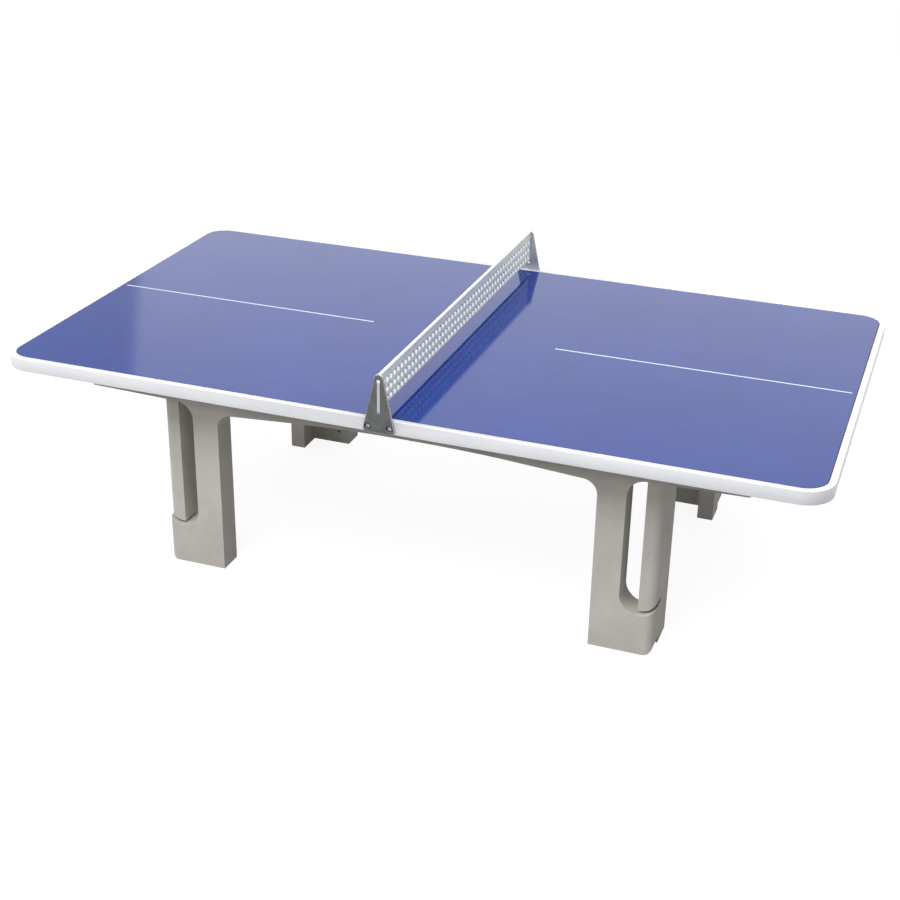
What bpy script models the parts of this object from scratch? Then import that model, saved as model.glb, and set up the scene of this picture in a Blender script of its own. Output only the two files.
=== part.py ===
"""Outdoor table tennis table on a concrete base, built as separate closed solids in metres."""

import math

import bmesh
import bpy
from mathutils import Matrix, Vector

# Playing height and outline of the top
TOP_LENGTH = 2.740
TOP_WIDTH = 1.525
TOP_HEIGHT = 0.760
TOP_CORNER_RADIUS = 0.095

# C-shaped metal profile round the edge of the top
EDGE_HEIGHT = 0.045
EDGE_WALL = 0.0025
EDGE_FLANGE = 0.020
EDGE_RETURN = 0.012
EDGE_ROUNDING = 0.002

# Coloured playing surface and the line halves let into it
SURFACE_THICKNESS = 0.006
SURFACE_GROOVE = 0.0012
LINE_WIDTH = 0.007
LINE_DEPTH = 0.001
LINE_NET_MARGIN = 0.335
LINE_END_MARGIN = 0.037

# Welded mat of bars cast into the core slab
BAR_DIAMETER = 0.008
BAR_COVER = 0.012
BAR_WELD = 0.0012
LONG_BARS = 4
CROSS_BARS = 6
BAR_EDGE_COVER = 0.025

# Perforated net plate with a round bead on top
NET_HEIGHT = 0.1525
NET_GAP = 0.037
NET_THICKNESS = 0.009
NET_BEAD = 0.0114
NET_HOLE = 0.017
NET_PITCH = 0.0308
NET_LOWER_BAND = 0.0077
NET_UPPER_BAND = 0.006
NET_END_BAND = 0.012
TONGUE_DROP = 0.009

# Plates on the edge profile that carry the net's ends
PLATE_THICKNESS = 0.0077
PLATE_TOP_RADIUS = 0.0154
PLATE_TAPER = math.radians(12.3)
PLATE_CORNER_RADIUS = 0.013
PLATE_LIFT = 0.0005
PLATE_ROUNDING = 0.0016
SLOT_WIDTH = 0.010
SLOT_HEAD = 0.012
SLOT_HEAD_DROP = 0.0235
SLOT_FOOT_DROP = 0.010
NET_BOLT_SPREAD = 0.036
NET_BOLT_RISE = 0.0205
COUNTERBORE = 0.024
COUNTERBORE_DEPTH = 0.006
NET_WASHER = 0.020
NET_WASHER_THICKNESS = 0.0014
NET_BOLT_HEAD = 0.0135
NET_BOLT_HEAD_HEIGHT = 0.0036
NET_BOLT_RIM = 0.0012
NET_BOLT_CROWN = 0.00945
NET_BOLT_KEY = 0.005
NET_BOLT_LENGTH = 0.035

# Steel anchors in the slab's edge that the net bolts screw into
ANCHOR_LENGTH = 0.120
ANCHOR_THICKNESS = 0.008
ANCHOR_HEIGHT = 0.026
ANCHOR_SOCKET = 0.018
ANCHOR_SOCKET_LENGTH = 0.040

# Long frames: a beam with two columns and two notched feet
PAD_SPACE = 0.005
LONG_SETBACK = 0.1705
FRAME_THICKNESS = 0.092
FRAME_CHAMFER = 0.004
BEAM_SETBACK = 0.220
BEAM_TIP_LENGTH = 0.030
BEAM_TIP_DEPTH = 0.065
BEAM_OUTER_DEPTH = 0.0855
BEAM_NOTCH_DEPTH = 0.094
BEAM_COLUMN_DEPTH = 0.1203
BEAM_MIDDLE_DEPTH = 0.077
BEAM_MIDDLE_RADIUS = 5.5
ARCH_FILLET = 0.050
NOTCH_FILLET = 0.060
FOOT_SETBACK = 0.504
FOOT_LENGTH = 0.210
FOOT_CORNER_RADIUS = 0.030
FOOT_PLAN_RADIUS = 0.027
COLUMN_WIDTH = 0.092
NOTCH_RADIUS = 0.069
NOTCH_FLOOR = 0.142

# Cross frames: slabs with two legs, whose tabs stand in the notches
CROSS_THICKNESS = 0.0575
CROSS_LEG = 0.100
CROSS_BEAM_DEPTH = 0.120
CROSS_FILLET = 0.060
TAB_SETBACK = 0.015
TAB_NOTCH_SPACE = 0.011

# Rubber strips between the frames and the slab
STRIP_WIDTH = 0.070
STRIP_SETBACK = 0.050

# Steel angles and the screws that hold them to the concrete
ANGLE_LEG = 0.050
ANGLE_THICKNESS = 0.005
ANGLE_HOLE_POSITION = 0.030
TOP_ANGLE_LENGTH = 0.100
TOP_ANGLE_POSITION = 0.400
CORNER_ANGLE_LENGTH = 0.060
CORNER_ANGLE_DROP = 0.015
BOLT_DIAMETER = 0.008
BOLT_HEAD = 0.0145
BOLT_HEAD_HEIGHT = 0.0053
SCREW_REACH = 0.028

# Threaded sockets for the ground anchors, closed with plugs
GROUND_SOCKET = 0.020
GROUND_SOCKET_BORE = 0.012
GROUND_SOCKET_LENGTH = 0.040
GROUND_SOCKET_HEIGHT = 0.050
GROUND_PLUG_RECESS = 0.002
GROUND_PLUG_LENGTH = 0.012

# Space between fitted pieces, and room round bolts
CLEARANCE = 0.0003
BOLT_ROOM = 0.0008
OVERRUN = 0.010
MERGE = 0.00001
SHARP_ANGLE = math.radians(50)

CORNER_STEPS = 8
ARC_STEPS = 6
BEAD_STEPS = 10
HOLE_SIDES = 8
ROUND_SIDES = 8
TURNED_STEPS = 16
BAR_SIDES = 6

EDGE_BOTTOM = TOP_HEIGHT - EDGE_HEIGHT
FRAME_TOP = EDGE_BOTTOM - PAD_SPACE
LONG_OUTER = TOP_WIDTH / 2 - LONG_SETBACK
LONG_INNER = LONG_OUTER - FRAME_THICKNESS
FOOT_END = TOP_LENGTH / 2 - FOOT_SETBACK
COLUMN_INNER = FOOT_END - FOOT_LENGTH
COLUMN_OUTER = COLUMN_INNER + COLUMN_WIDTH
CROSS_INNER = FOOT_END - CROSS_THICKNESS
NET_TOP = TOP_HEIGHT + NET_HEIGHT
NET_BOTTOM = TOP_HEIGHT + NET_GAP
TONGUE_HEAD = NET_TOP - SLOT_HEAD_DROP
NET_BOLT_HEIGHT = EDGE_BOTTOM + PLATE_LIFT + NET_BOLT_RISE
PLATE_INNER = TOP_WIDTH / 2 + CLEARANCE
PLATE_OUTER = PLATE_INNER + PLATE_THICKNESS
BOLT_RADIUS = BOLT_DIAMETER / 2
ANCHOR_FACE = TOP_WIDTH / 2 - EDGE_WALL - CLEARANCE

SIDES = (("near", -1), ("far", 1))
ENDS = (("left", -1), ("right", 1))
UP = Vector((0, 0, 1))

for leftover in list(bpy.data.objects):
    bpy.data.objects.remove(leftover, do_unlink=True)

parts = bpy.data.collections.new("table_tennis_table")
cutters = bpy.data.collections.new("cutters")
bpy.context.scene.collection.children.link(parts)
bpy.context.scene.collection.children.link(cutters)


def finish(name, bm, is_cutter=False):
    """Turn a bmesh into a linked object whose round faces are shaded smooth."""
    bmesh.ops.recalc_face_normals(bm, faces=bm.faces[:])
    mesh = bpy.data.meshes.new(name)
    bm.to_mesh(mesh)
    bm.free()
    if not is_cutter:
        mesh.shade_smooth()
        mesh.set_sharp_from_angle(angle=SHARP_ANGLE)
    piece = bpy.data.objects.new(name, mesh)
    if is_cutter:
        cutters.objects.link(piece)
        piece.display_type = 'WIRE'
        piece.hide_render = True
    else:
        parts.objects.link(piece)
    return piece


def paint(piece, colour, roughness, metallic):
    """Give a piece its own plain material."""
    material = bpy.data.materials.new(piece.name)
    material.use_nodes = True
    shader = material.node_tree.nodes["Principled BSDF"]
    shader.inputs["Base Color"].default_value = (*colour, 1)
    shader.inputs["Roughness"].default_value = roughness
    shader.inputs["Metallic"].default_value = metallic
    piece.data.materials.append(material)


def boolean(target, tool, operation='DIFFERENCE'):
    """Cut a piece with a tool, or join the tool to it."""
    modifier = target.modifiers.new(tool.name, 'BOOLEAN')
    modifier.operation = operation
    modifier.solver = 'EXACT'
    modifier.object = tool


def arc(centre, radius, start, end, steps):
    """Points on an arc, its two ends included."""
    angles = [start + (end - start) * step / steps for step in range(steps + 1)]
    return [(centre[0] + radius * math.cos(a), centre[1] + radius * math.sin(a)) for a in angles]


def fillet(before, corner, after, radius, steps=ARC_STEPS):
    """Points of the arc that rounds the corner between two straight lines."""
    corner = Vector(corner)
    into = (corner - Vector(before)).normalized()
    out = (Vector(after) - corner).normalized()
    turn = into.angle_signed(out)
    reach = radius * math.tan(abs(turn) / 2)
    start = corner - into * reach
    inward = Vector((into.y, -into.x)) * math.copysign(1, turn)
    centre = start + inward * radius
    first = math.atan2(start.y - centre.y, start.x - centre.x)
    return arc(centre, radius, first, first - turn, steps)


def prism(name, outline, thickness, is_cutter=False, chamfer=0):
    """A flat solid with the given closed outline, half its thickness on either side of z = 0."""
    curve = bpy.data.curves.new(name, 'CURVE')
    curve.dimensions = '2D'
    curve.fill_mode = 'BOTH'
    curve.extrude = thickness / 2
    spline = curve.splines.new('POLY')
    spline.points.add(len(outline) - 1)
    for point, place in zip(spline.points, outline):
        point.co = (place[0], place[1], 0, 1)
    spline.use_cyclic_u = True
    drawn = bpy.data.objects.new(name, curve)
    cutters.objects.link(drawn)
    drawn_now = drawn.evaluated_get(bpy.context.evaluated_depsgraph_get())
    mesh = bpy.data.meshes.new_from_object(drawn_now)
    bpy.data.objects.remove(drawn, do_unlink=True)
    bm = bmesh.new()
    bm.from_mesh(mesh)
    bmesh.ops.remove_doubles(bm, verts=bm.verts[:], dist=MERGE)
    bmesh.ops.dissolve_limit(bm, angle_limit=math.radians(0.1), verts=bm.verts[:], edges=bm.edges[:])
    bmesh.ops.recalc_face_normals(bm, faces=bm.faces[:])
    if chamfer:
        sharp = [edge for edge in bm.edges if edge.is_convex and edge.calc_face_angle() > math.radians(30)]
        bmesh.ops.bevel(bm, geom=sharp, offset=chamfer, offset_type='OFFSET', affect='EDGES',
                        segments=1, profile=0.5, material=-1)
    return finish(name, bm, is_cutter)


def rounded_plate(name, half_x, half_y, radius, bottom, top, is_cutter=False, rounding=0):
    """An upright prism on a rectangle with round corners."""
    bm = bmesh.new()
    bmesh.ops.create_grid(bm, x_segments=1, y_segments=1, size=1)
    bmesh.ops.scale(bm, vec=(half_x, half_y, 1), verts=bm.verts[:])
    bmesh.ops.bevel(bm, geom=bm.verts[:], offset=radius, offset_type='OFFSET', affect='VERTICES',
                    segments=CORNER_STEPS, profile=0.5, material=-1)
    raised = bmesh.ops.extrude_face_region(bm, geom=bm.faces[:])["geom"]
    raised = [item for item in raised if isinstance(item, bmesh.types.BMVert)]
    bmesh.ops.translate(bm, vec=(0, 0, top - bottom), verts=raised)
    bmesh.ops.recalc_face_normals(bm, faces=bm.faces[:])
    if rounding:
        rim = [edge for edge in bm.edges if all(vert in raised for vert in edge.verts)]
        bmesh.ops.bevel(bm, geom=rim, offset=rounding, offset_type='OFFSET', affect='EDGES',
                        segments=3, profile=0.5, material=-1)
    piece = finish(name, bm, is_cutter)
    piece.location.z = bottom
    return piece


def block(name, low, high, is_cutter=False):
    """A box between two opposite corners."""
    low = Vector(low)
    high = Vector(high)
    bm = bmesh.new()
    bmesh.ops.create_cube(bm, size=1)
    bmesh.ops.scale(bm, vec=high - low, verts=bm.verts[:])
    piece = finish(name, bm, is_cutter)
    piece.location = (low + high) / 2
    return piece


def aim(place, direction):
    """The transform that stands a z-axis piece on a place, pointing in a direction."""
    return Matrix.Translation(place) @ UP.rotation_difference(Vector(direction)).to_matrix().to_4x4()


def rods(name, places, radius, length, sides=ROUND_SIDES, is_cutter=False):
    """Round bars, each from its place along its direction."""
    bm = bmesh.new()
    for place, direction in places:
        middle = Vector(place) + Vector(direction) * length / 2
        bmesh.ops.create_cone(bm, cap_ends=True, segments=sides, radius1=radius, radius2=radius,
                              depth=length, matrix=aim(middle, direction))
    return finish(name, bm, is_cutter)


def turned(name, section, place, direction, closed=False):
    """A solid of revolution, its half section given as (radius, height) points from the top down."""
    bm = bmesh.new()
    corners = [bm.verts.new((radius, 0, height)) for radius, height in section]
    following = corners[1:] + corners[:1] if closed else corners[1:]
    for first, second in zip(corners, following):
        bm.edges.new((first, second))
    mesh = bpy.data.meshes.new(name)
    bm.to_mesh(mesh)
    bm.free()
    piece = bpy.data.objects.new(name, mesh)
    parts.objects.link(piece)
    piece.matrix_world = aim(place, direction)
    screw = piece.modifiers.new("turning", 'SCREW')
    screw.steps = TURNED_STEPS
    screw.render_steps = TURNED_STEPS
    screw.use_merge_vertices = True
    screw.merge_threshold = MERGE
    screw.use_smooth_shade = True
    return piece


def drill(target, name, places, radius, depth, sides=ROUND_SIDES):
    """Cut round holes that start outside the face at each place and end a depth behind it."""
    starts = [(Vector(place) - Vector(direction) * OVERRUN, direction) for place, direction in places]
    boolean(target, rods(name, starts, radius, depth + OVERRUN, sides, is_cutter=True))


def keyed_outline(half_web, head_radius, bottom, head):
    """An upright web with a round bead on its top edge."""
    shoulder = math.asin(math.sqrt(head_radius ** 2 - half_web ** 2) / head_radius)
    bead = arc((0, head), head_radius, -shoulder, math.pi + shoulder, BEAD_STEPS)
    return [(-half_web, bottom), (half_web, bottom)] + bead


def upright(piece, y, turn=0):
    """Stand a flat prism up in a plane along the table's length."""
    piece.rotation_euler = (math.pi / 2, 0, turn)
    piece.location.y = y


def round_foot(target, name, end, side, outer, height):
    """Round a casting's outer upright corner in plan, up to a height."""
    middle = (FOOT_END - FOOT_PLAN_RADIUS, outer - FOOT_PLAN_RADIUS)
    outline = [(FOOT_END + OVERRUN, middle[1]), (FOOT_END + OVERRUN, outer + OVERRUN), (middle[0], outer + OVERRUN)]
    outline += arc(middle, FOOT_PLAN_RADIUS, math.pi / 2, 0, ARC_STEPS)
    tool = prism(name, [(end * x, side * y) for x, y in outline], height, is_cutter=True)
    tool.location.z = height / 2 - OVERRUN
    boolean(target, tool)


# Concrete core slab, stepped round its lower edge for the profile's return and recessed for the surface
inset = EDGE_WALL + CLEARANCE
slab = rounded_plate("top_core_slab", TOP_LENGTH / 2 - inset, TOP_WIDTH / 2 - inset,
                     TOP_CORNER_RADIUS - inset, EDGE_BOTTOM + inset, TOP_HEIGHT - inset)
inset = EDGE_RETURN + CLEARANCE
boolean(slab, rounded_plate("slab_foot", TOP_LENGTH / 2 - inset, TOP_WIDTH / 2 - inset,
                            TOP_CORNER_RADIUS - inset, EDGE_BOTTOM, EDGE_BOTTOM + 2 * EDGE_WALL,
                            is_cutter=True), 'UNION')
boolean(slab, rounded_plate("surface_recess", TOP_LENGTH / 2 - EDGE_FLANGE, TOP_WIDTH / 2 - EDGE_FLANGE,
                            TOP_CORNER_RADIUS - EDGE_FLANGE, TOP_HEIGHT - SURFACE_THICKNESS - CLEARANCE,
                            TOP_HEIGHT + OVERRUN, is_cutter=True))
paint(slab, (0.42, 0.42, 0.40), 0.9, 0)

# Playing surface, parted from the profile by a fine groove
inset = EDGE_FLANGE + SURFACE_GROOVE
surface = rounded_plate("playing_surface", TOP_LENGTH / 2 - inset, TOP_WIDTH / 2 - inset,
                        TOP_CORNER_RADIUS - inset, TOP_HEIGHT - SURFACE_THICKNESS, TOP_HEIGHT)
paint(surface, (0.02, 0.05, 0.27), 0.2, 0)

# Centre line halves, flush with the surface
for end_name, end in ENDS:
    reach = sorted((end * LINE_NET_MARGIN, end * (TOP_LENGTH / 2 - LINE_END_MARGIN)))
    groove = block("line_groove_" + end_name,
                   (reach[0] - CLEARANCE, -LINE_WIDTH / 2 - CLEARANCE, TOP_HEIGHT - LINE_DEPTH - CLEARANCE),
                   (reach[1] + CLEARANCE, LINE_WIDTH / 2 + CLEARANCE, TOP_HEIGHT + OVERRUN), is_cutter=True)
    boolean(surface, groove)
    line = block("centre_line_" + end_name, (reach[0], -LINE_WIDTH / 2, TOP_HEIGHT - LINE_DEPTH),
                 (reach[1], LINE_WIDTH / 2, TOP_HEIGHT))
    paint(line, (0.75, 0.75, 0.82), 0.4, 0)

# Edge profile halves, which meet behind the net plates and are drilled for the net bolts
wall_holes = rods("profile_holes", [((spread, side * (TOP_WIDTH / 2 - OVERRUN), NET_BOLT_HEIGHT), (0, side, 0))
                                    for _, side in SIDES for spread in (-NET_BOLT_SPREAD, NET_BOLT_SPREAD)],
                  BOLT_RADIUS + BOLT_ROOM, 2 * OVERRUN, is_cutter=True)
channel = rounded_plate("profile_channel", TOP_LENGTH / 2 - EDGE_WALL, TOP_WIDTH / 2 - EDGE_WALL,
                        TOP_CORNER_RADIUS - EDGE_WALL, EDGE_BOTTOM + EDGE_WALL, TOP_HEIGHT - EDGE_WALL,
                        is_cutter=True)
mouth = rounded_plate("profile_mouth", TOP_LENGTH / 2 - EDGE_FLANGE, TOP_WIDTH / 2 - EDGE_FLANGE,
                      TOP_CORNER_RADIUS - EDGE_FLANGE, TOP_HEIGHT - EDGE_HEIGHT / 2, TOP_HEIGHT + OVERRUN,
                      is_cutter=True)
underside = rounded_plate("profile_underside", TOP_LENGTH / 2 - EDGE_RETURN, TOP_WIDTH / 2 - EDGE_RETURN,
                          TOP_CORNER_RADIUS - EDGE_RETURN, EDGE_BOTTOM - OVERRUN,
                          TOP_HEIGHT - EDGE_HEIGHT / 2, is_cutter=True)
for end_name, end in ENDS:
    profile = rounded_plate("edge_profile_" + end_name, TOP_LENGTH / 2, TOP_WIDTH / 2, TOP_CORNER_RADIUS,
                            EDGE_BOTTOM, TOP_HEIGHT, rounding=EDGE_ROUNDING)
    other_half = sorted((end * CLEARANCE / 2, -end * TOP_LENGTH))
    boolean(profile, block("other_half_of_" + end_name,
                           (other_half[0], -TOP_WIDTH, EDGE_BOTTOM - OVERRUN),
                           (other_half[1], TOP_WIDTH, TOP_HEIGHT + OVERRUN), is_cutter=True))
    for tool in (channel, mouth, underside, wall_holes):
        boolean(profile, tool)
    paint(profile, (0.85, 0.86, 0.89), 0.35, 0)

# Reinforcing mat, whose cross bars are welded on top of its long bars
bar_radius = BAR_DIAMETER / 2
layer = EDGE_BOTTOM + BAR_COVER
long_reach = TOP_LENGTH / 2 - EDGE_WALL - 2 * CLEARANCE
cross_reach = TOP_WIDTH / 2 - EDGE_WALL - 2 * CLEARANCE
outermost = TOP_WIDTH / 2 - TOP_CORNER_RADIUS - BAR_EDGE_COVER
long_rows = [outermost * (2 * row / (LONG_BARS - 1) - 1) for row in range(LONG_BARS)]
mat = rods("reinforcing_mat", [((-long_reach, y, layer), (1, 0, 0)) for y in long_rows],
           bar_radius, 2 * long_reach, sides=BAR_SIDES)
boolean(slab, rods("long_bar_bores", [((-TOP_LENGTH / 2, y, layer), (1, 0, 0)) for y in long_rows],
                   bar_radius + CLEARANCE, TOP_LENGTH, sides=BAR_SIDES, is_cutter=True))
layer += BAR_DIAMETER - BAR_WELD
outermost = TOP_LENGTH / 2 - TOP_CORNER_RADIUS - BAR_EDGE_COVER
cross_rows = [outermost * (2 * row / (CROSS_BARS - 1) - 1) for row in range(CROSS_BARS)]
boolean(mat, rods("cross_bars", [((x, -cross_reach, layer), (0, 1, 0)) for x in cross_rows],
                  bar_radius, 2 * cross_reach, sides=BAR_SIDES, is_cutter=True), 'UNION')
boolean(slab, rods("cross_bar_bores", [((x, -TOP_WIDTH / 2, layer), (0, 1, 0)) for x in cross_rows],
                   bar_radius + CLEARANCE, TOP_WIDTH, sides=BAR_SIDES, is_cutter=True))
paint(mat, (0.20, 0.15, 0.12), 0.7, 1)

# Net: a thick plate with rows of round holes, a bead on top and a tongue at each end
net_half = TOP_WIDTH / 2 - CLEARANCE
web = NET_THICKNESS / 2
bead = NET_BEAD / 2
net = prism("net_panel", keyed_outline(web, bead, NET_BOTTOM, NET_TOP - bead), 2 * net_half)
upright(net, 0)
for side_name, side in SIDES:
    root = net_half - OVERRUN / 2
    tongue = prism("net_tongue_" + side_name, keyed_outline(web, bead, NET_BOTTOM - TONGUE_DROP, TONGUE_HEAD),
                   PLATE_OUTER - root, is_cutter=True)
    upright(tongue, side * (PLATE_OUTER + root) / 2)
    boolean(net, tongue, 'UNION')
columns = math.floor((net_half - NET_END_BAND - NET_HOLE / 2) / NET_PITCH)
lowest = NET_BOTTOM + NET_LOWER_BAND + NET_HOLE / 2
highest = NET_TOP - NET_BEAD - NET_UPPER_BAND - NET_HOLE / 2
rows = math.floor((highest - lowest) / NET_PITCH) + 1
hole_places = [((-NET_THICKNESS, column * NET_PITCH, lowest + row * NET_PITCH), (1, 0, 0))
               for row in range(rows) for column in range(-columns, columns + 1)]
boolean(net, rods("net_holes", hole_places, NET_HOLE / 2, 2 * NET_THICKNESS, sides=HOLE_SIDES, is_cutter=True))
paint(net, (0.62, 0.63, 0.64), 0.45, 1)

# End plates with a slot for the net's tongue, and their bolts, washers and anchors
plate_bottom = EDGE_BOTTOM + PLATE_LIFT
dome = (0, NET_TOP - PLATE_TOP_RADIUS)
touch = arc(dome, PLATE_TOP_RADIUS, PLATE_TAPER, math.pi - PLATE_TAPER, BEAD_STEPS)
half_foot = touch[0][0] + (touch[0][1] - plate_bottom) * math.tan(PLATE_TAPER)
plate_corner = fillet((0, plate_bottom), (half_foot, plate_bottom), touch[0], PLATE_CORNER_RADIUS)
plate_outline = [(-x, z) for x, z in reversed(plate_corner)] + plate_corner + touch
slot_shoulder = math.acos(SLOT_WIDTH / SLOT_HEAD)
slot_head = arc((0, TONGUE_HEAD), SLOT_HEAD / 2, -slot_shoulder, math.pi + slot_shoulder, BEAD_STEPS)
slot_foot = arc((0, NET_BOTTOM - SLOT_FOOT_DROP), SLOT_HEAD / 2, math.pi - slot_shoulder,
                2 * math.pi + slot_shoulder, BEAD_STEPS)
for side_name, side in SIDES:
    turn = math.pi * (side + 1) / 2
    middle = side * (PLATE_INNER + PLATE_OUTER) / 2
    plate = prism("net_end_plate_" + side_name, plate_outline, PLATE_THICKNESS, chamfer=PLATE_ROUNDING)
    upright(plate, middle, turn)
    slot = prism("plate_slot_" + side_name, slot_foot + slot_head, 2 * OVERRUN, is_cutter=True)
    upright(slot, middle, turn)
    boolean(plate, slot)
    spreads = (-NET_BOLT_SPREAD, NET_BOLT_SPREAD)
    seat = PLATE_OUTER - COUNTERBORE_DEPTH
    inward = (0, -side, 0)
    outward = (0, side, 0)
    boolean(plate, rods("plate_seats_" + side_name,
                        [((x, side * seat, NET_BOLT_HEIGHT), outward) for x in spreads],
                        COUNTERBORE / 2, 2 * COUNTERBORE_DEPTH, sides=TURNED_STEPS, is_cutter=True))
    boolean(plate, rods("plate_holes_" + side_name,
                        [((x, side * (PLATE_INNER - OVERRUN), NET_BOLT_HEIGHT), outward) for x in spreads],
                        BOLT_RADIUS + BOLT_ROOM, 2 * OVERRUN, is_cutter=True))
    paint(plate, (0.12, 0.13, 0.13), 0.4, 1)

    washer_seat = side * (seat + CLEARANCE)
    ring = [(NET_WASHER / 2, NET_WASHER_THICKNESS), (NET_WASHER / 2, 0), (BOLT_RADIUS + BOLT_ROOM, 0),
            (BOLT_RADIUS + BOLT_ROOM, NET_WASHER_THICKNESS)]
    head_seat = side * (seat + NET_WASHER_THICKNESS + 2 * CLEARANCE)
    section = [(0, NET_BOLT_HEAD_HEIGHT), (NET_BOLT_CROWN / 2, NET_BOLT_HEAD_HEIGHT),
               (NET_BOLT_HEAD / 2, NET_BOLT_RIM), (NET_BOLT_HEAD / 2, 0), (BOLT_RADIUS, 0),
               (BOLT_RADIUS, -NET_BOLT_LENGTH), (0, -NET_BOLT_LENGTH)]
    for end_name, end in ENDS:
        x = end * NET_BOLT_SPREAD
        label = side_name + "_" + end_name
        washer = turned("net_washer_" + label, ring, (x, washer_seat, NET_BOLT_HEIGHT), outward, closed=True)
        paint(washer, (0.75, 0.76, 0.77), 0.25, 1)
        bolt = turned("net_bolt_" + label, section, (x, head_seat, NET_BOLT_HEIGHT), outward)
        key_seat = head_seat + side * NET_BOLT_RIM
        boolean(bolt, rods("bolt_key_" + label, [((x, key_seat, NET_BOLT_HEIGHT), outward)],
                           NET_BOLT_KEY / 2, OVERRUN, sides=6, is_cutter=True))
        paint(bolt, (0.75, 0.76, 0.77), 0.2, 1)

    bar_middle = ANCHOR_FACE - ANCHOR_THICKNESS / 2
    anchor_low = (-ANCHOR_LENGTH / 2, side * bar_middle - ANCHOR_THICKNESS / 2,
                  NET_BOLT_HEIGHT - ANCHOR_HEIGHT / 2)
    anchor_high = (ANCHOR_LENGTH / 2, side * bar_middle + ANCHOR_THICKNESS / 2,
                   NET_BOLT_HEIGHT + ANCHOR_HEIGHT / 2)
    room = Vector((CLEARANCE, CLEARANCE, CLEARANCE))
    anchor = block("net_anchor_" + side_name, anchor_low, anchor_high)
    back = side * (ANCHOR_FACE - ANCHOR_THICKNESS / 2)
    behind = [((x, back, NET_BOLT_HEIGHT), inward) for x in spreads]
    boolean(anchor, rods("anchor_sleeves_" + side_name, behind, ANCHOR_SOCKET / 2, ANCHOR_SOCKET_LENGTH,
                         is_cutter=True), 'UNION')
    boolean(anchor, rods("anchor_bores_" + side_name,
                         [((x, side * (ANCHOR_FACE + OVERRUN), NET_BOLT_HEIGHT), inward) for x in spreads],
                         BOLT_RADIUS + BOLT_ROOM / 2, NET_BOLT_LENGTH + OVERRUN, is_cutter=True))
    paint(anchor, (0.30, 0.29, 0.28), 0.6, 1)
    bed = block("anchor_bed_" + side_name, Vector(anchor_low) - room, Vector(anchor_high) + room, is_cutter=True)
    bed.scale.y = 1 + 2 * OVERRUN / ANCHOR_THICKNESS
    bed.location.y += side * OVERRUN
    boolean(slab, bed)
    boolean(slab, rods("anchor_sleeve_beds_" + side_name, behind, ANCHOR_SOCKET / 2 + CLEARANCE,
                       ANCHOR_SOCKET_LENGTH + CLEARANCE, is_cutter=True))

# Long frames, each one casting of a beam, two columns and two notched feet
beam_end = TOP_LENGTH / 2 - BEAM_SETBACK
notch_middle = (COLUMN_OUTER + NOTCH_RADIUS, NOTCH_FLOOR + NOTCH_RADIUS)
arch_middle = (0, FRAME_TOP - BEAM_MIDDLE_DEPTH)
arch_side = (COLUMN_INNER, FRAME_TOP - BEAM_COLUMN_DEPTH)
notch_corner = (COLUMN_OUTER, FRAME_TOP - BEAM_NOTCH_DEPTH)
tip_start = (beam_end - BEAM_TIP_LENGTH, FRAME_TOP - BEAM_OUTER_DEPTH)
notch_start = -math.acos((FOOT_END - notch_middle[0]) / NOTCH_RADIUS)
half_outline = fillet((-arch_side[0], arch_side[1]), arch_middle, arch_side, BEAM_MIDDLE_RADIUS)[ARC_STEPS // 2:]
half_outline += fillet(arch_middle, arch_side, (COLUMN_INNER, 0), ARCH_FILLET)
half_outline += [(COLUMN_INNER, 0)]
half_outline += fillet((COLUMN_INNER, 0), (FOOT_END, 0), (FOOT_END, NOTCH_FLOOR), FOOT_CORNER_RADIUS)
half_outline += arc(notch_middle, NOTCH_RADIUS, notch_start, -math.pi, 2 * ARC_STEPS)
half_outline += fillet((COLUMN_OUTER, NOTCH_FLOOR), notch_corner, tip_start, NOTCH_FILLET)
half_outline += [tip_start, (beam_end, FRAME_TOP - BEAM_TIP_DEPTH), (beam_end, FRAME_TOP)]
frame_outline = half_outline + [(-x, z) for x, z in reversed(half_outline[1:])]
long_middle = (LONG_OUTER + LONG_INNER) / 2
angle_outer = LONG_INNER - CLEARANCE
for side_name, side in SIDES:
    frame = prism("long_frame_" + side_name, frame_outline, FRAME_THICKNESS, chamfer=FRAME_CHAMFER)
    upright(frame, side * long_middle)
    for end_name, end in ENDS:
        round_foot(frame, "foot_rounding_" + side_name + "_" + end_name, end, side, LONG_OUTER, 2 * NOTCH_FLOOR)
    paint(frame, (0.48, 0.48, 0.46), 0.85, 0)

# Cross frames, each a slab with two legs and a tab outside each leg
tab_outer = LONG_OUTER - TAB_SETBACK
leg_outer = LONG_INNER - CLEARANCE
leg_inner = leg_outer - CROSS_LEG
tab_top = FRAME_TOP - BEAM_NOTCH_DEPTH + 2 * CLEARANCE
portal = FRAME_TOP - CROSS_BEAM_DEPTH
half_outline = fillet((0, portal), (leg_inner, portal), (leg_inner, 0), CROSS_FILLET)
half_outline += [(leg_inner, 0), (leg_outer, 0), (leg_outer, NOTCH_FLOOR), (tab_outer, NOTCH_FLOOR),
                 (tab_outer, tab_top), (leg_outer, tab_top), (leg_outer, FRAME_TOP)]
cross_outline = half_outline + [(-y, z) for y, z in reversed(half_outline)]
tab_bottom = arc(notch_middle, NOTCH_RADIUS - TAB_NOTCH_SPACE, math.pi, 2 * math.pi, 2 * ARC_STEPS)
below_tab = [(tab_bottom[0][0], NOTCH_FLOOR / 2), (tab_bottom[-1][0], NOTCH_FLOOR / 2)] + tab_bottom[::-1]
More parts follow.
